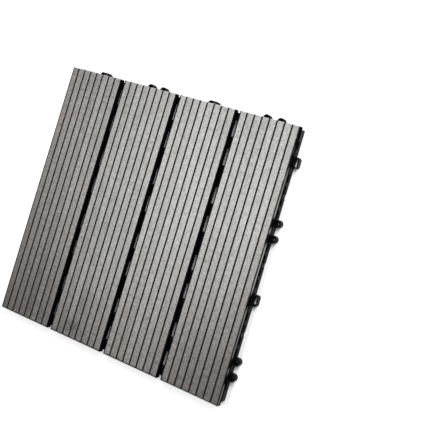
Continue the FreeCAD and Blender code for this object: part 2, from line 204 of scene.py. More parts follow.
def paleness_and_painted_light(tree, place):
    """How pale each place is, painted light included, from 0 to 1."""
    # The wide spot is painted light: a pool of light painted into the colour
    wide, weak = [soft_spot(tree, place, (*centre, TOP_UP), reach, strength)
                  for centre, reach, strength in PAINTED_LIGHT_AND_PALE_SPOTS]
    painted_light_and_paler = add(tree, "ShaderNodeMath", {0: wide, 1: weak}, operation="ADD")
    clouds = pattern(tree, place, (38, 60, 40), to=(-CLOUD_SHARE, CLOUD_SHARE), detail=4)
    rib = add(tree, "ShaderNodeAttribute", output="Fac", attribute_name=RIB_TONE)
    uneven = add(tree, "ShaderNodeMath", {0: rib, 1: RIB_SHARE, 2: clouds},
                 operation="MULTIPLY_ADD")
    return add(tree, "ShaderNodeMath", {0: painted_light_and_paler, 1: uneven}, operation="ADD", use_clamp=True)


def pale_and_lit_colour(tree, place, pale_and_lit):
    """Colour of the sanded tops, from a worn, shaded tone to a pale, lit one, before painted shade,
    stains and grain.
    """
    colour = add(tree, "ShaderNodeMix", {"Factor": pale_and_lit, COLOUR_A: WORN_AND_SHADED, COLOUR_B: BLEACHED_AND_LIT},
                 output=MIXED, data_type="RGBA")
    for sizes, span, strength, tint in BINDER_TINTS:
        amount = pattern(tree, place, sizes, span, to=(0.0, strength), detail=2)
        colour = add(tree, "ShaderNodeMix",
                     {"Factor": amount, COLOUR_A: colour, COLOUR_B: linear(tint)},
                     output=MIXED, data_type="RGBA")
    return colour


# The pale end of the mix carries painted light, and the worn end painted shade
print("bleached composite reflects", round(BLEACHED_AND_LIT[1], 2), "of green light, and worn composite",
      round(WORN_AND_SHADED[1], 2))

# %% [markdown]
# ## Painted shade, a dark edge and stains
#
# The near corners of this tile, its left and right side and its near edge are darker, painted into
# the colour as painted shade, and the second slat has two stains. Noise alone would put them
# anywhere, so soft spots say where they lie, and each one mixes the colour towards a dark grey. The
# wide painted shade is even. A darker band along the right edge and the two stains are broken up
# by blotches nearly a centimetre wide, because a neat outline would look printed.

# %% Painted shade, a dark edge and stains
GRIME_AND_SHADE = linear("3E3A38")
# Centre, reach and strength of painted shade: two near corners, left and right side, near edge
EVEN_PAINTED_SHADE = (((152, -152), (120, 150, 60), 0.55),
             ((-152, -152), (90, 80, 60), 0.28),
             ((-152, -12), (85, 120, 60), 0.15),
             ((152, -50), (75, 110, 60), 0.12),
             ((0, -150.5), (500, 4.0, 60), 3.0))
# The same for a darker band along the right edge and two stains
BLOTCHED_DARK_PLACES = (((149.2, 0), (2.2, 900, 60), 3.0),
                 ((-47, -137), (19, 13, 40), 0.75),
                 ((-39, -104), (17, 22, 40), 0.32))


def shaded_and_dirtied(tree, place, colour):
    """The colour with painted shade, a darker right edge and stains on it."""
    spots = [soft_spot(tree, place, (*centre, TOP_UP), reach, strength)
             for centre, reach, strength in EVEN_PAINTED_SHADE]
    blotches = pattern(tree, place, (7, 10, 8), (0.32, 0.62), to=(0.25, 1.0), detail=4)
    for centre, reach, strength in BLOTCHED_DARK_PLACES:
        spot = soft_spot(tree, place, (*centre, TOP_UP), reach, strength)
        spots.append(add(tree, "ShaderNodeMath", {0: spot, 1: blotches}, operation="MULTIPLY"))
    # Painted shade at the corners, sides and near edge, and real stains on the second slat
    for spot in spots:
        colour = add(tree, "ShaderNodeMix", {"Factor": spot, COLOUR_A: colour, COLOUR_B: GRIME_AND_SHADE},
                     output=MIXED, data_type="RGBA")
    return colour


# Places of painted shade, the darker right edge and the stains
print("places with dirt:", len(EVEN_PAINTED_SHADE) + len(BLOTCHED_DARK_PLACES))

# %% [markdown]
# ## Grain of the sanded tops
#
# The sanding belt cuts flecks of wood open and leaves pores and long scratches. Flecks are a little
# over one by four millimetres. Pores and scratches are finer on a real slat, and are drawn as
# coarse as they need to be to show. Each noise is a factor round 1, and the three are multiplied,
# so that they darken and lighten whatever colour lies below. The grain is stronger at the worn,
# shaded end of the mix and weaker at its pale, lit end, so it follows the painted light and shade.

# %% Grain of the sanded tops
FLECK = (1.3, 4.0, 1.3)
PORE = (0.4, 0.9, 0.4)
SCRATCH = (0.34, 26, 0.34)
WORN_SHADED_CONTRAST = 1.42
PALE_LIT_CONTRAST = 0.76


def sanded_grain(tree, place, pale_and_lit):
    """Brightness of the grain, round 1."""
    flecks = pattern(tree, place, FLECK, to=(0.54, 1.46), rough=0.7)
    pores = pattern(tree, place, PORE, to=(0.74, 1.26))
    scratches = pattern(tree, place, SCRATCH, to=(0.88, 1.12), detail=4)
    grain = add(tree, "ShaderNodeMath", {0: flecks, 1: pores}, operation="MULTIPLY")
    grain = add(tree, "ShaderNodeMath", {0: grain, 1: scratches}, operation="MULTIPLY")
    above_one = add(tree, "ShaderNodeMath", {0: grain, 1: 1.0}, operation="SUBTRACT")
    # Grain contrast follows the painted light and shade of the mix
    contrast = add(tree, "ShaderNodeMapRange",
                   {"Value": pale_and_lit, "To Min": WORN_SHADED_CONTRAST, "To Max": PALE_LIT_CONTRAST})
    return add(tree, "ShaderNodeMath", {0: above_one, 1: contrast, 2: 1.0},
               operation="MULTIPLY_ADD")


print("scratches are", SCRATCH[0], "mm wide and", SCRATCH[1], "mm long")

# %% [markdown]
# ## Sanded composite
#
# The material of the tops puts these parts together. The grain scales the colour and also drives a
# bump, so that flecks and scratches catch the light as well as change the tone. They are too
# shallow to be worth real geometry. A sanded surface is matte, with a roughness that changes from
# fleck to fleck.

# %% Sanded composite
def sanded_composite():
    """Sanded wood-plastic composite: pale, matte, with flecks and scratches."""
    material, tree = new_material("sanded_wood_plastic_composite")
    place = add(tree, "ShaderNodeTexCoord", output="Object")
    pale_and_lit = paleness_and_painted_light(tree, place)
    colour = shaded_and_dirtied(tree, place, pale_and_lit_colour(tree, place, pale_and_lit))
    grain = sanded_grain(tree, place, pale_and_lit)
    colour = add(tree, "ShaderNodeVectorMath", {0: colour, "Scale": grain}, operation="SCALE")
    bump = add(tree, "ShaderNodeBump", {"Height": grain, "Strength": 0.5, "Distance": 0.10 * MM})
    roughness = pattern(tree, place, (1.1, 3.4, 1.1), to=(0.64, 0.80))
    shader = add(tree, "ShaderNodeBsdfPrincipled",
                 {"Base Color": colour, "Roughness": roughness, "IOR": 1.5, "Normal": bump})
    add(tree, "ShaderNodeOutputMaterial", {"Surface": shader})
    return material


sanded_material = sanded_composite()
print(sanded_material.name, "has", len(sanded_material.node_tree.nodes), "nodes")

# %% [markdown]
# ## Polish and painted shade on the outer walls
#
# The slats' skin was pressed against polished steel while the plastic was soft. High on the two
# outer walls of the tile it keeps that polish and reflects the pale surroundings as a thin line.
# Lower roughness alone would make the whole wall shine, so the polish is the shader's coat, a clear
# layer whose weight can fade. Long soft spots give the weight: a faint one from end to end on
# either wall, and a stronger one round the middle of the right wall, a painted reflection that
# makes the line brighter there. Beside each coupling and at the far corner, which is dark in the
# photograph, smaller spots with a ragged edge take the coat away: painted shade on the line.

# %% Polish and painted shade on the outer walls
BAND_BELOW_TOP = 1.0
BAND_UP = TOP_UP - BAND_BELOW_TOP
BAND_REACH_ACROSS = 40
BAND_REACH_UP = 3.6
POLISHED_MIDDLE = 20
# Place across, reach along the wall and coat weight; the stronger middle spot is a painted
# reflection
POLISH_AND_PAINTED_REFLECTION = ((WALL_ACROSS, 600, 0.62), (WALL_ACROSS, 95, 0.9), (-WALL_ACROSS, 600, 0.62))
SHADE_REACH_ACROSS = 8
SHADE_REACH_UP = 12
# Place and reach of painted shade along the right wall: the far corner, then each loop and each eye
PAINTED_SHADE_PLACES = ((148, 50), (112.5, 14), (46, 10), (29, 10), (-37.5, 14), (-104, 10), (-121, 10))


def wall_polish_and_shade(tree, place):
    """Weight of the coat, from 0 to 1, with a painted reflection and painted shade in it."""
    polish_and_shade = 0.0
    for across, reach, weight in POLISH_AND_PAINTED_REFLECTION:
        spot = soft_spot(tree, place, (across, POLISHED_MIDDLE, BAND_UP),
                         (BAND_REACH_ACROSS, reach, BAND_REACH_UP), weight)
        polish_and_shade = add(tree, "ShaderNodeMath", {0: polish_and_shade, 1: spot}, operation="ADD", use_clamp=True)
    ragged = pattern(tree, place, (4, 5, 3), to=(1.2, 2.0))
    # Painted shade: the coat is taken away beside each coupling and at the far corner
    for along, reach in PAINTED_SHADE_PLACES:
        spot = soft_spot(tree, place, (WALL_ACROSS, along, BAND_UP),
                         (SHADE_REACH_ACROSS, reach, SHADE_REACH_UP), 1.0)
        painted_shade = add(tree, "ShaderNodeMath", {0: spot, 1: ragged}, operation="MULTIPLY",
                    use_clamp=True)
        unshaded = add(tree, "ShaderNodeMath", {0: 1.0, 1: painted_shade}, operation="SUBTRACT")
        polish_and_shade = add(tree, "ShaderNodeMath", {0: polish_and_shade, 1: unshaded}, operation="MULTIPLY")
    return polish_and_shade


# Places of painted shade on the right wall
print("dull places on the right wall:", len(PAINTED_SHADE_PLACES))

# %% [markdown]
# ## The skin of the slats
#
# The skin is charcoal and carries faint lines along the slat, where the die scored it. The real
# lines are finer and are drawn half a millimetre wide, so that they show. It has three states. The
# outer walls are polished as above. The edges beside the sanded top and the underside are scuffed,
# and dust lies in the grooves, so both reflect little. Each state could have a material written
# for it, but three that should match are hard to keep alike, so one function makes all three. The
# base of the polished one has no reflection of its own, or the walls in the gaps, which lie in deep
# shade and are black, would turn grey. The refractive index of its coat is above that of plastic,
# with which the pale line would be too faint to see.

# %% Composite skin
SKIN_FLECK = linear("3A3632")
COAT_IOR = 2.2
LEAST_DUST = 0.3
SMOOTHER, ROUGHER = 0.04, 0.07


def composite_skin(name, colour_hex, dust_hex, dust, roughness, sheen, polished=False):
    """Extruded composite skin: charcoal, with a share of dust, die lines and a faint sheen."""
    material, tree = new_material(name)
    place = add(tree, "ShaderNodeTexCoord", output="Object")
    flecks = pattern(tree, place, (0.9, 1.8, 0.9), (0.62, 0.78), to=(0.0, 0.25), detail=2)
    colour = add(tree, "ShaderNodeMix",
                 {"Factor": flecks, COLOUR_A: linear(colour_hex), COLOUR_B: SKIN_FLECK},
                 output=MIXED, data_type="RGBA")
    settled = pattern(tree, place, (12, 45, 8), (0.35, 0.75), to=(LEAST_DUST * dust, dust),
                      detail=4)
    colour = add(tree, "ShaderNodeMix",
                 {"Factor": settled, COLOUR_A: colour, COLOUR_B: linear(dust_hex)},
                 output=MIXED, data_type="RGBA")
    die_lines = pattern(tree, place, (0.5, 240, 0.5))
    bump = add(tree, "ShaderNodeBump",
               {"Height": die_lines, "Strength": 0.2, "Distance": 0.04 * MM})
    gloss = pattern(tree, place, (10, 40, 6), to=(roughness - SMOOTHER, roughness + ROUGHER))
    # On the outer walls the coat weight carries a painted reflection and painted shade
    polish_and_shade = wall_polish_and_shade(tree, place) if polished else 0.0
    shader = add(tree, "ShaderNodeBsdfPrincipled",
                 {"Base Color": colour, "Roughness": gloss, "IOR": 1.5, "Normal": bump,
                  "Specular IOR Level": sheen, "Coat Weight": polish_and_shade, "Coat IOR": COAT_IOR,
                  "Coat Roughness": roughness, "Coat Normal": bump})
    add(tree, "ShaderNodeOutputMaterial", {"Surface": shader})
    return material


skin_material = composite_skin("scuffed_composite_skin", colour_hex="0B0B0C", dust_hex="2C2A28",
                               dust=0.1, roughness=0.45, sheen=0.05)
side_material = composite_skin("polished_composite_skin", colour_hex="060608", dust_hex="2C2D30",
                               dust=0.1, roughness=0.20, sheen=0.0, polished=True)
groove_material = composite_skin("dusty_groove_skin", colour_hex="1F1D1B", dust_hex="2B2724",
                                 dust=0.5, roughness=0.6, sheen=0.15)
print("skins:", skin_material.name, side_material.name, groove_material.name)

# %% [markdown]
# ## Sawn ends
#
# The slats were cut to length by a circular saw. A cut end has no skin: it is rough, paler than the
# walls and crossed by tooth marks. Modelling each mark would cost many faces for something so
# shallow. The marks are noise cells a millimetre wide and drawn out along the path of the blade,
# and a bump node makes them catch the light.

# %% Sawn composite
def sawn_composite():
    """Sawn wood-plastic composite: rough, mottled, with tooth marks."""
    material, tree = new_material("sawn_wood_plastic_composite")
    place = add(tree, "ShaderNodeTexCoord", output="Object")
    clouds = pattern(tree, place, (14, 14, 5), to=(0.1, 0.5))
    flecks = pattern(tree, place, (0.8, 0.8, 0.5), to=(0.0, 0.5), detail=4)
    tone = add(tree, "ShaderNodeMath", {0: clouds, 1: flecks}, operation="ADD", use_clamp=True)
    colour = add(tree, "ShaderNodeMix",
                 {"Factor": tone, COLOUR_A: linear("423F3C"), COLOUR_B: linear("878480")},
                 output=MIXED, data_type="RGBA")
    tooth_marks = pattern(tree, place, (1.1, 40, 9), detail=2)
    height = add(tree, "ShaderNodeMath", {0: flecks, 1: tooth_marks}, operation="ADD")
    bump = add(tree, "ShaderNodeBump", {"Height": height, "Strength": 0.6, "Distance": 0.2 * MM})
    shader = add(tree, "ShaderNodeBsdfPrincipled",
                 {"Base Color": colour, "Roughness": 0.85, "IOR": 1.5, "Normal": bump})
    add(tree, "ShaderNodeOutputMaterial", {"Surface": shader})
    return material


slat_materials = [sanded_material, skin_material, groove_material, sawn_composite(), side_material]
TOP, SKIN, GROOVE, END, SIDE = range(len(slat_materials))
print("slat materials:", [material.name for material in slat_materials])

# %% [markdown]
# ## Sizes of a slat's section
#
# An extruder pushes one section out along the slat. These are its sizes in millimetres, as in the
# CAD model, with details that the model leaves out because they are too small for it. Groove lips
# and groove floors have small radii, because a razor-sharp edge never catches light. A thin line
# runs along each side, where the two halves of the die met. A narrow strip beside the left rounded
# edge is given the dark skin, where the photograph shows the gaps a little wider.

# %% Sizes of the section
GROOVES = 7
GROOVE_PITCH = 8.85
GROOVE_HALF = 0.75
GROOVE_DEPTH = 1.5
LIP = 0.25
FLOOR_RADIUS = 0.3
ARRIS = 1.2
LEFT_SKIN_STRIP = 0.6
HEEL = 2.0
MIDDLE_FOOT_HALF = 5.5
SIDE_FOOT = 9.0
CHANNEL_DEPTH = 2.5
CHANNEL_SLOPE = 1.5
DIE_LINE_HEIGHT = 3.7
DIE_LINE_HALF = 0.25
DIE_LINE_DEPTH = 0.22
ARC_STEPS = 3

print("grooves on a slat:", GROOVES, "with ribs of", GROOVE_PITCH - 2 * GROOVE_HALF, "mm between")

# %% [markdown]
# ## Outline of a slat's section
#
# A slat could be cut from a box with Boolean modifiers, but then nothing would say which face is
# sanded and which is skin. Here the section is one outline, and each stretch of it is tagged with
# the surface that it makes. The upper half of each long rounded edge is tagged as scuffed skin,
# which reflects little and makes a dark line above the wall, and the lower half goes with the wall.
# Width and height come from the CAD node, so that the mesh stays inside it.

# %% Outline of the section
def arc(centre, radius, start, end):
    """Points on a circle, angles in degrees."""
    angles = np.radians(np.linspace(start, end, ARC_STEPS + 1))
    return [(centre[0] + radius * math.cos(a), centre[1] + radius * math.sin(a)) for a in angles]


def slat_outline(half, low, high):
    """Outline points of one section and the surface tag of the stretch that follows each point.

    The outline runs up the left side, over the top, down the right side and back underneath.
    """
    points, tags = [], []

    def draw(places, tag):
        for place in places:
            points.append(place)
            tags.append(tag)

    line = low + DIE_LINE_HEIGHT
    die_line = [(half, line + DIE_LINE_HALF), (half - DIE_LINE_DEPTH, line),
                (half, line - DIE_LINE_HALF)]
    draw([(-half, low + HEEL)] + [(-across, up) for across, up in reversed(die_line)], SIDE)
    draw(arc((-half + ARRIS, high - ARRIS), ARRIS, 180, 135)[:-1], SIDE)
    draw(arc((-half + ARRIS, high - ARRIS), ARRIS, 135, 90), SKIN)
    # A narrow strip of dark skin beside the left rounded edge
    draw([(-half + ARRIS + LEFT_SKIN_STRIP, high)], TOP)
    for index in range(GROOVES):
        middle = (index - (GROOVES - 1) / 2) * GROOVE_PITCH
        left, right, floor = middle - GROOVE_HALF, middle + GROOVE_HALF, high - GROOVE_DEPTH
        draw(arc((left - LIP, high - LIP), LIP, 90, 0), GROOVE)
        draw(arc((left + FLOOR_RADIUS, floor + FLOOR_RADIUS), FLOOR_RADIUS, 180, 270), GROOVE)
        draw(arc((right - FLOOR_RADIUS, floor + FLOOR_RADIUS), FLOOR_RADIUS, 270, 360), GROOVE)
        draw(arc((right + LIP, high - LIP), LIP, 180, 90)[:-1], GROOVE)
        draw([(right + LIP, high)], TOP)
    draw(arc((half - ARRIS, high - ARRIS), ARRIS, 90, 45)[:-1], SKIN)
    draw(arc((half - ARRIS, high - ARRIS), ARRIS, 45, 0) + die_line, SIDE)

    foot_in = half - SIDE_FOOT
    roof = low + CHANNEL_DEPTH
    draw([(half, low + HEEL), (half - HEEL, low), (foot_in, low), (foot_in - CHANNEL_SLOPE, roof),
          (MIDDLE_FOOT_HALF + CHANNEL_SLOPE, roof), (MIDDLE_FOOT_HALF, low),
          (-MIDDLE_FOOT_HALF, low), (-MIDDLE_FOOT_HALF - CHANNEL_SLOPE, roof),
          (-foot_in + CHANNEL_SLOPE, roof), (-foot_in, low), (-half + HEEL, low)], SKIN)
    return np.array(points), tags


first_low, first_high = (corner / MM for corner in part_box(slat_names[0]))
first_outline, first_tags = slat_outline((first_high.x - first_low.x) / 2, first_low.z,
                                         first_high.z)
print("points of a section:", len(first_outline))

# %% [markdown]
# ## Points of a slat
#
# A sanded edge is never perfectly straight: flecks of wood break out of it. So the outline is
# repeated every two and a half millimetres, and the points on the groove lips sink by up to a tenth
# of a millimetre at random. The random numbers are seeded, so every run gives the same slats. The
# saw leaves a sharp corner at each end, which is taken off with a small bevel: the last points of
# the top are lowered by as much as they lie beyond the station before.

# %% Points of a slat
STATION = 2.5
LIP_WEAR = 0.1
END_BEVEL = 0.8


def stations_between(start, end):
    """Places along Y at which the outline is repeated, with one beside each end for the bevel."""
    inner = np.linspace(start + END_BEVEL, end - END_BEVEL, int((end - start) / STATION))
    return np.concatenate(([start], inner, [end]))


def smooth_random(random, count, knots):
    """A smooth random curve from 0 to 1, sampled at count places."""
    values = random.uniform(0, 1, knots)
    return np.interp(np.linspace(0, knots - 1, count), np.arange(knots), values)


def slat_points(outline, tags, middle, stations, random):
    """The outline repeated at every station along Y, with worn groove lips."""
    points = np.zeros((len(stations), len(outline), 3))
    points[:, :, 0] = outline[:, 0] + middle
    points[:, :, 1] = stations[:, None]
    points[:, :, 2] = outline[:, 1]
    lip_bottom = outline[:, 1].max() - LIP
    for index, tag in enumerate(tags):
        if tag == GROOVE and outline[index, 1] > lip_bottom:
            wear = LIP_WEAR * smooth_random(random, len(stations), len(stations) // 2)
            points[1:-1, index, 2] -= wear[1:-1]
    bevel_height = outline[:, 1].max() - END_BEVEL
    for end in (0, -1):
        points[end, :, 2] = np.minimum(points[end, :, 2], bevel_height)
    return points


print("stations along a slat:", len(stations_between(first_low.y, first_high.y)))

# %% [markdown]
# ## Faces of a slat
#
# Blender could extrude the outline by itself, but it wouldn't know the surface tags. So the faces
# are listed here: two neighbouring points at two neighbouring stations make one four-sided face,
# which takes the tag of its stretch of the outline. One many-sided face closes each end. Such a
# face with notches in it can't be shaded well, so it is cut into triangles afterwards.

# %% Faces of a slat
def slat_faces(tags, station_count):
    """Faces of the long surfaces and of both ends, and the surface tag of each."""
    count = len(tags)
    faces, face_tags = [], []
    for station in range(station_count - 1):
        for index, tag in enumerate(tags):
            start = station * count + index
            following = station * count + (index + 1) % count
            faces.append((start, following, following + count, start + count))
            face_tags.append(tag)
    faces.append(tuple(range(count)))
    faces.append(tuple(range((station_count - 1) * count, station_count * count)))
    return faces, face_tags + [END, END]


def tidy_faces(mesh):
    """Turn all faces outwards and cut the many-sided ones into triangles."""
    editable = bmesh.new()
    editable.from_mesh(mesh)
    bmesh.ops.recalc_face_normals(editable, faces=editable.faces)
    caps = [face for face in editable.faces if len(face.verts) > 4]
    bmesh.ops.triangulate(editable, faces=caps)
    editable.to_mesh(mesh)
    editable.free()


print("faces of two stations and two ends:", len(slat_faces(first_tags, 2)[0]))

# %% [markdown]
# ## Shading and placing a piece
#
# Smooth shading hides the small faces of a curve, but a real edge has to stay crisp, so edges
# sharper than a limit are kept sharp. Every piece then takes the place of its CAD node and moves
# with the tile's one body.

# %% Shading and placing
CRISP_ABOVE = math.radians(28)


def shade(mesh):
    """Smooth shading with crisp edges."""
    mesh.polygons.foreach_set("use_smooth", [True] * len(mesh.polygons))
    mesh.set_sharp_from_angle(angle=CRISP_ABOVE)


def place_piece(mesh, node):
    """An object for the mesh, shown in place of a CAD node."""
    piece = bpy.data.objects.new(mesh.name, mesh)
    bpy.context.scene.collection.objects.link(piece)
    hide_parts(node)
    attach(piece, "root")
    return piece


print("edges stay crisp above", round(math.degrees(CRISP_ABOVE)), "degrees")

# %% [markdown]
# ## The four slats
#
# Each slat takes its place and size from its CAD node. One slat copied four times would show the
# same wear four times. Slats come from different stretches of the extrusion, and each rib was
# sanded a little differently. So each slat is built with a seed of its own, and every rib gets a
# random number, stored on the mesh as an attribute. The sanded material reads it to make some ribs
# paler.

# %% Build the slats
FIRST_SEED = 11


def build_slat(name, seed):
    """One slat in the place of its CAD node."""
    low, high = (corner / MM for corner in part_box(name))
    outline, tags = slat_outline((high.x - low.x) / 2, low.z, high.z)
    stations = stations_between(low.y, high.y)
    random = np.random.default_rng(seed)
    points = slat_points(outline, tags, (low.x + high.x) / 2, stations, random)
    faces, face_tags = slat_faces(tags, len(stations))

    mesh = bpy.data.meshes.new(f"{name}_extrusion")
    mesh.from_pydata((points.reshape(-1, 3) * MM).tolist(), [], faces)
    for material in slat_materials:
        mesh.materials.append(material)
    mesh.polygons.foreach_set("material_index", face_tags)

    rib_of = np.round(outline[:, 0] / GROOVE_PITCH + GROOVES / 2).clip(0, GROOVES).astype(int)
    rib_tones = random.uniform(-1, 1, GROOVES + 1)
    tones = mesh.attributes.new(RIB_TONE, "FLOAT", "POINT")
    tones.data.foreach_set("value", np.tile(rib_tones[rib_of], len(stations)).astype(np.float32))

    tidy_faces(mesh)
    shade(mesh)
    return place_piece(mesh, name)


for seed, slat_name in enumerate(slat_names, start=FIRST_SEED):
    slat = build_slat(slat_name, seed)
    print(slat_name, "faces:", len(slat.data.polygons))

# %% [markdown]
# ## The material of the base
#
# Polypropylene is injected hot into a steel mould, whose spark-eroded walls leave a fine, even
# grain. The real grain is below a tenth of a millimetre and is drawn at a quarter, so that it shows
# in a close view. Carbon black colours the plastic through, and grey dust lies on it in patches.
# The faces that stand on the ground have picked up more of it, which makes the grid underneath easy
# to read. Pits smaller than a bump texture can show swallow most of the mirror-like light, so the
# specular level is well below the usual half, or the black would turn grey beside white paper. The
# roughness varies a little, where the plastic flowed and cooled at another pace.

# %% Moulded polypropylene
MOULD_SHEEN = 0.05
DUSTY_HEIGHT = 1.2


def moulded_polypropylene():
    """Moulded black polypropylene: matte, finely grained and dusty."""
    material, tree = new_material("moulded_black_polypropylene")
    place = add(tree, "ShaderNodeTexCoord", output="Object")
    dust = pattern(tree, place, (7, 7, 4), (0.5, 0.8), to=(0.0, 0.10), detail=5)
    height = add(tree, "ShaderNodeSeparateXYZ", {0: place}, output="Z")
    patches = pattern(tree, place, (14, 14, 14), to=(0.2, 0.7), detail=4)
    picked_up = add(tree, "ShaderNodeMapRange",
                    {"Value": height, "From Min": 0.0, "From Max": DUSTY_HEIGHT * MM,
                     "To Min": patches, "To Max": 0.0})
    dust = add(tree, "ShaderNodeMath", {0: dust, 1: picked_up}, operation="MAXIMUM")
    colour = add(tree, "ShaderNodeMix",
                 {"Factor": dust, COLOUR_A: linear("070809"), COLOUR_B: linear("3E3B38")},
                 output=MIXED, data_type="RGBA")
    erosion = pattern(tree, place, (0.25, 0.25, 0.25), detail=2)
    bump = add(tree, "ShaderNodeBump", {"Height": erosion, "Strength": 0.35, "Distance": 0.04 * MM})
    roughness = pattern(tree, place, (30, 30, 14), to=(0.40, 0.52), detail=4)
    shader = add(tree, "ShaderNodeBsdfPrincipled",
                 {"Base Color": colour, "Roughness": roughness, "IOR": 1.49,
                  "Specular IOR Level": MOULD_SHEEN, "Normal": bump})
    add(tree, "ShaderNodeOutputMaterial", {"Surface": shader})
    return material


base_material = moulded_polypropylene()
print(base_material.name, "has", len(base_material.node_tree.nodes), "nodes")

# %% [markdown]
# ## Rounded moulding edges
#
# A mould is cut with round tools, and plastic shrinks away from sharp corners, so every edge of the
# real base has a small radius that shows as a thin highlight. The CAD solid has sharp edges. A
# material can fake the highlight, but the mesh that is exported would still be sharp. So a copy of
# the solid's mesh is cleaned of the triangle edges inside flat faces, and then its sharp edges are
# bevelled. A bevel cuts into the solid and never grows it.

# %% Round the base
MOULD_RADIUS = 0.3
ROUNDING_STEPS = 2
ROUNDNESS = 0.6
SAME_PLACE = 0.001
FLAT_FACE = math.radians(1)
SHARP_EDGE = math.radians(35)


def round_edges(name, radius_mm, material):
    """A copy of a CAD node's mesh with flat faces joined and sharp edges rounded."""
    mesh = nodes[name].data.copy()
    mesh.name = f"{name}_moulding"
    editable = bmesh.new()
    editable.from_mesh(mesh)
    bmesh.ops.remove_doubles(editable, verts=editable.verts, dist=SAME_PLACE * MM)
    bmesh.ops.dissolve_limit(editable, angle_limit=FLAT_FACE, verts=editable.verts,
                             edges=editable.edges)
    sharp = [edge for edge in editable.edges
             if edge.is_manifold and edge.calc_face_angle() > SHARP_EDGE]
    bmesh.ops.bevel(editable, geom=sharp, offset=radius_mm * MM, offset_type="OFFSET",
                    segments=ROUNDING_STEPS, profile=ROUNDNESS, affect="EDGES", clamp_overlap=True)
    editable.to_mesh(mesh)
    editable.free()
    mesh.materials.clear()
    mesh.materials.append(material)
    shade(mesh)
    return mesh


base = place_piece(round_edges("base_grid", MOULD_RADIUS, base_material), "base_grid")
base.data.calc_loop_triangles()
print("base triangles:", len(base.data.loop_triangles))

# %% [markdown]
# ## Zinc on steel
#
# The screws are cold-formed steel with a thin coat of zinc: pale, slightly blue, with a cloudy
# sheen. A metal has no colour of its own under the reflection, so Metallic is 1 and the base colour
# tints what it reflects. One flat colour would look like chrome, so two tints are mixed in clouds,
# and small zinc crystals make the roughness uneven.

# %% Zinc plated steel
def zinc_plated_steel():
    """Zinc plated steel: pale metal with a cloudy sheen."""
    material, tree = new_material("zinc_plated_steel")
    place = add(tree, "ShaderNodeTexCoord", output="Object")
    film = pattern(tree, place, (3, 3, 3), (0.35, 0.65), detail=2)
    colour = add(tree, "ShaderNodeMix",
                 {"Factor": film, COLOUR_A: linear("B9BCC2"), COLOUR_B: linear("A8A9A6")},
                 output=MIXED, data_type="RGBA")
    crystals = pattern(tree, place, (0.8, 0.8, 0.8), to=(0.28, 0.42))
    shader = add(tree, "ShaderNodeBsdfPrincipled",
                 {"Base Color": colour, "Metallic": 1.0, "Roughness": crystals})
    add(tree, "ShaderNodeOutputMaterial", {"Surface": shader})
    return material


screw_material = zinc_plated_steel()
print(screw_material.name, "has", len(screw_material.node_tree.nodes), "nodes")

# %% [markdown]
# ## A screw, turned
#
# A pan head screw is round, so its mesh is a profile turned about its axis. Blender has a Screw
# modifier for that. With ten steps a short loop is as easy, and it closes the tips with triangles:
# each step of the profile becomes a ring of points, and neighbouring rings are joined by faces. The
# heights are those of the screw in the tile, from the outer face of its head up to its tip.

# %% A turned screw
# Radius and height of each step
SCREW_PROFILE = [(0.0, 5.8), (2.2, 5.82), (3.1, 6.2), (3.5, 6.75), (3.59, 7.3), (3.59, 7.75),
                 (3.45, 8.0), (1.75, 8.0), (1.75, 16.5), (0.0, 18.5)]
SCREW_SIDES = 32


def turned(name, profile, sides):
    """Mesh of a profile of (radius, height) turned about Z, in millimetres."""
    editable = bmesh.new()
    rings = []
    for reach, height in profile:
        if reach == 0:
            rings.append([editable.verts.new((0, 0, height))] * sides)
            continue
        angles = [2 * math.pi * side / sides for side in range(sides)]
        rings.append([editable.verts.new((reach * math.cos(a), reach * math.sin(a), height))
                      for a in angles])
    for lower, upper in zip(rings, rings[1:]):
        for side in range(sides):
            following = (side + 1) % sides
            corners = [lower[side], lower[following], upper[following], upper[side]]
            editable.faces.new(list(dict.fromkeys(corners)))
    bmesh.ops.recalc_face_normals(editable, faces=editable.faces)
    mesh = bpy.data.meshes.new(name)
    editable.to_mesh(mesh)
    editable.free()
    return mesh


blank_mesh = turned("screw_blank", SCREW_PROFILE, SCREW_SIDES)
print("faces of the blank:", len(blank_mesh.polygons))

# %% [markdown]
# ## The driver's cross
#
# A punch presses the recess for the driver into the head, so the recess has the punch's form: two
# crossed wedges that get narrower inside. They stand a little proud of the head, so that the cut
# never has two surfaces in the same place.

# %% The driver's cross
CROSS_LENGTH = 4.2
CROSS_WIDTH = 0.95
CROSS_DEPTH = 1.3
CROSS_TAPER = 0.55
CROSS_PROUD = 0.2


def driver_cross():
    """Two crossed wedges, wide at the screw's outer face and narrower inside the head."""
    editable = bmesh.new()
    outside = SCREW_PROFILE[0][1] - CROSS_PROUD
    inside = SCREW_PROFILE[0][1] + CROSS_DEPTH
    for across, along in ((CROSS_LENGTH, CROSS_WIDTH), (CROSS_WIDTH, CROSS_LENGTH)):
        wedge = bmesh.ops.create_cube(editable, size=1.0)["verts"]
        for corner in wedge:
            deep = corner.co.z > 0
            taper = CROSS_TAPER if deep else 1.0
            corner.co = Vector((corner.co.x * across * taper, corner.co.y * along * taper,
                                inside if deep else outside))
    mesh = bpy.data.meshes.new("driver_cross")
    editable.to_mesh(mesh)
    editable.free()
    return mesh


cross_mesh = driver_cross()
print("faces of the cross:", len(cross_mesh.polygons))

# %% [markdown]
# ## Cutting the recess
#
# The wedges are cut out of the head with a Boolean modifier, which finds where the round head and
# the flat wedges meet, and that is hard to work out by hand. The two wedges overlap, so the
# modifier is told that its cutter crosses itself. The result is kept as a mesh, and the two objects
# that made it are removed.

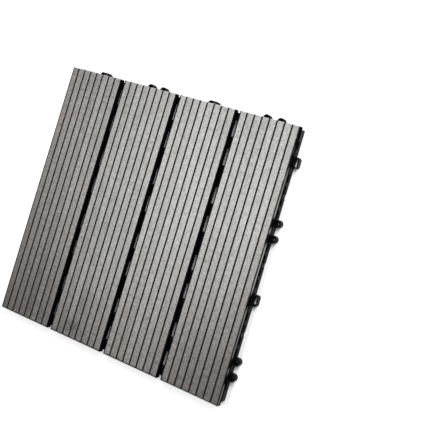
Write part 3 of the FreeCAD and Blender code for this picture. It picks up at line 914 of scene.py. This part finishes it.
# %% Cut the recess
def cut(body_mesh, tool_mesh):
    """Mesh of the body with the tool cut out of it."""
    body = bpy.data.objects.new("blank", body_mesh)
    tool = bpy.data.objects.new("tool", tool_mesh)
    for piece in (body, tool):
        bpy.context.scene.collection.objects.link(piece)
    modifier = body.modifiers.new("cut", "BOOLEAN")
    modifier.operation = "DIFFERENCE"
    modifier.solver = "EXACT"
    modifier.use_self = True
    modifier.object = tool
    evaluated = body.evaluated_get(bpy.context.evaluated_depsgraph_get())
    result = bpy.data.meshes.new_from_object(evaluated)
    for piece in (body, tool):
        bpy.data.objects.remove(piece)
    return result


screw_mesh = cut(blank_mesh, cross_mesh)
print("faces of one screw:", len(screw_mesh.polygons))

# %% [markdown]
# ## Sixteen screws
#
# The screws sit in recesses on the underside, four to a slat, on the same pitch both ways. They are
# all alike, so linked copies would do. But the CAD model holds them in one node, so the corners of
# one screw are shifted to each of the sixteen places and kept in one mesh.

# %% Sixteen screws
SCREWS_PER_ROW = 4
SCREW_PITCH = 76.0


def build_screws(one, material):
    """One mesh with a copy of the screw at each of its places."""
    corners = np.array([corner.co for corner in one.vertices])
    faces = [tuple(face.vertices) for face in one.polygons]
    vertices, all_faces = [], []
    places = (np.arange(SCREWS_PER_ROW) - (SCREWS_PER_ROW - 1) / 2) * SCREW_PITCH
    for across in places:
        for along in places:
            first = len(vertices)
            vertices += ((corners + (across, along, 0)) * MM).tolist()
            all_faces += [tuple(first + corner for corner in face) for face in faces]
    mesh = bpy.data.meshes.new("pan_head_screws")
    mesh.from_pydata(vertices, [], all_faces)
    mesh.materials.append(material)
    shade(mesh)
    return mesh


screws = place_piece(build_screws(screw_mesh, screw_material), "deck_screws")
print("screw faces:", len(screws.data.polygons))

# %% [markdown]
# ## Camera
#
# The camera looks down on the tile from its right side, as in the photograph. A camera can be
# placed by eye, but here its place and its lens come from fitting the corners of the tile and the
# edges of its slats in the picture. A vertical shift of the lens keeps that perspective while the
# tile sits low in the frame.

# %% Camera
PICTURE = 440
FOCAL_PIXELS = 757.4
SENSOR = 36.0
CENTRE_RISE_PIXELS = 70
CAMERA_PLACE = Vector((422.35, 92.34, 753.2)) * MM
FORWARD = Vector((-0.43512, 0.0132, -0.90028)).normalized()
ROUGHLY_UP = Vector((-0.25256, 0.95796, 0.13611))

camera_data = bpy.data.cameras.new("camera")
camera_data.sensor_width = SENSOR
camera_data.lens = FOCAL_PIXELS / PICTURE * SENSOR
camera_data.shift_y = -CENTRE_RISE_PIXELS / PICTURE
camera = bpy.data.objects.new("camera", camera_data)
bpy.context.scene.collection.objects.link(camera)
rightward = FORWARD.cross(ROUGHLY_UP).normalized()
upward = rightward.cross(FORWARD)
turn = Matrix((rightward, upward, -FORWARD)).transposed().to_4x4()
camera.matrix_world = Matrix.Translation(CAMERA_PLACE) @ turn
bpy.context.scene.camera = camera
print("lens:", round(camera_data.lens, 1), "mm, field of view:",
      round(math.degrees(camera_data.angle), 1), "degrees")

# %% [markdown]
# ## Rays that the camera sees
#
# A renderer sends out rays from the camera to find what is in the picture, and further rays from
# each surface to gather the light on it. The Light Path node tells them apart. One value is 1 for
# rays that come from the camera, straight or by way of a shiny or clear surface, and 0 for rays
# that gather light. It makes a background white without bleaching the tile with more light.

# %% Rays in sight
def in_sight(tree):
    """1 for rays that come from the camera and 0 for rays that gather light."""
    rays = add(tree, "ShaderNodeLightPath").node.outputs
    straight_or_shiny = add(tree, "ShaderNodeMath",
                            {0: rays["Is Camera Ray"], 1: rays["Is Glossy Ray"]},
                            operation="MAXIMUM")
    return add(tree, "ShaderNodeMath",
               {0: straight_or_shiny, 1: rays["Is Transmission Ray"]}, operation="MAXIMUM")


print("kinds of ray in sight: camera, glossy, transmission")

# %% [markdown]
# ## White paper
#
# The tile lies on white paper, faintly mottled by its fibres. Making it white in the picture with
# more light would bleach the tile too. So the lamp stays at a plain level, and the paper gives off
# a little light of its own, for rays in sight alone. The tile's soft shadow stays on it. Under the
# tile the extra light fades out, because there it would shine up through the open grid and the
# couplings. The fade begins outside the walls of the tile and is measured along the longer of X and
# Y, which makes it square like the tile.

# %% White paper
PAPER_LIFT = 0.60
COVERED_LIFT = 0.05
COVERED_TO = WALL_ACROSS + 1.5
OPEN_FROM = WALL_ACROSS + 8.5


def paper():
    """White uncoated paper: matte, with a light of its own where the tile leaves it open."""
    material, tree = new_material("white_paper")
    place = add(tree, "ShaderNodeTexCoord", output="Object")
    fibres = pattern(tree, place, (1.5, 1.5, 1.5), detail=2)
    colour = add(tree, "ShaderNodeMix",
                 {"Factor": fibres, COLOUR_A: linear("F6F6F6"), COLOUR_B: linear("FAFAFA")},
                 output=MIXED, data_type="RGBA")
    sheet = add(tree, "ShaderNodeBsdfDiffuse", {"Color": colour})

    apart = add(tree, "ShaderNodeVectorMath", {0: place}, operation="ABSOLUTE")
    sides = add(tree, "ShaderNodeSeparateXYZ", {0: apart}).node.outputs
    furthest = add(tree, "ShaderNodeMath", {0: sides["X"], 1: sides["Y"]}, operation="MAXIMUM")
    uncovered = add(tree, "ShaderNodeMapRange",
                    {"Value": furthest, "From Min": COVERED_TO * MM, "From Max": OPEN_FROM * MM,
                     "To Min": COVERED_LIFT, "To Max": PAPER_LIFT})
    lift = add(tree, "ShaderNodeMath", {0: in_sight(tree), 1: uncovered}, operation="MULTIPLY")
    glow = add(tree, "ShaderNodeEmission", {"Strength": lift})
    shader = add(tree, "ShaderNodeAddShader", {0: sheet, 1: glow})
    add(tree, "ShaderNodeOutputMaterial", {"Surface": shader})
    return material


paper_material = paper()
print("the paper is fully lit from", round(OPEN_FROM, 1), "mm off the middle")

# %% [markdown]
# ## Floor
#
# The floor is one large square just under the tile. It lies a twentieth of a millimetre lower than
# the tile's underside, because two surfaces in exactly the same place would flicker in a render.

# %% Floor
FLOOR_HALF = 3000
FLOOR_DROP = 0.05

edge = FLOOR_HALF * MM
floor_mesh = bpy.data.meshes.new("floor")
floor_mesh.from_pydata([(-edge, -edge, 0), (edge, -edge, 0), (edge, edge, 0), (-edge, edge, 0)],
                       [], [(0, 1, 2, 3)])
floor_mesh.materials.append(paper_material)
floor = bpy.data.objects.new("floor", floor_mesh)
floor.location.z = -FLOOR_DROP * MM
bpy.context.scene.collection.objects.link(floor)
print("floor:", 2 * edge, "m square")

# %% [markdown]
# ## Surroundings
#
# The world lights the tile from all sides, as pale walls round a table would. It could be a
# panorama of a real room, but an even grey needs no file. It is less than half of white, because
# the lamp adds the rest. For rays in sight of the camera it is plain white, so that the paper's far
# edge melts into it and the polished parts have something pale to reflect.

# %% Surroundings
WHITE = linear("FFFFFF")
SURROUND = 0.4

world = bpy.data.worlds.new("studio")
bpy.context.scene.world = world
world.use_nodes = True
world.node_tree.nodes.clear()
brightness = add(world.node_tree, "ShaderNodeMapRange",
                 {"Value": in_sight(world.node_tree), "To Min": SURROUND, "To Max": 1.0})
background = add(world.node_tree, "ShaderNodeBackground",
                 {"Color": WHITE, "Strength": brightness})
add(world.node_tree, "ShaderNodeOutputWorld", {"Surface": background})
print("world:", SURROUND, "for gathered light, 1 in sight")

# %% [markdown]
# ## Lamp
#
# One square softbox stands behind the right side of the tile. A bare bulb would give hard shadows
# in the grooves, and the photograph has soft ones. The softbox is close enough to light that side
# more than the near left corner, as in the photograph. Together with the surroundings it lights a
# flat surface in the middle of the tile at a plain level: a colour renders about as bright as it is
# written. The Standard view transform keeps it that way on the screen.

# %% Lamp
LAMP_PLACE = Vector((500, 620, 850)) * MM
LAMP_SIZE = 600
LAMP_WATTS = 12.5

lamp_data = bpy.data.lights.new("softbox", "AREA")
lamp_data.shape = "SQUARE"
lamp_data.size = LAMP_SIZE * MM
lamp_data.energy = LAMP_WATTS
lamp = bpy.data.objects.new("softbox", lamp_data)
lamp.location = LAMP_PLACE
lamp.rotation_euler = (-LAMP_PLACE).to_track_quat("-Z", "Y").to_euler()
bpy.context.scene.collection.objects.link(lamp)

bpy.context.scene.view_settings.view_transform = "Standard"
print("lamp:", LAMP_WATTS, "W at", round(LAMP_PLACE.length, 2), "m from the tile")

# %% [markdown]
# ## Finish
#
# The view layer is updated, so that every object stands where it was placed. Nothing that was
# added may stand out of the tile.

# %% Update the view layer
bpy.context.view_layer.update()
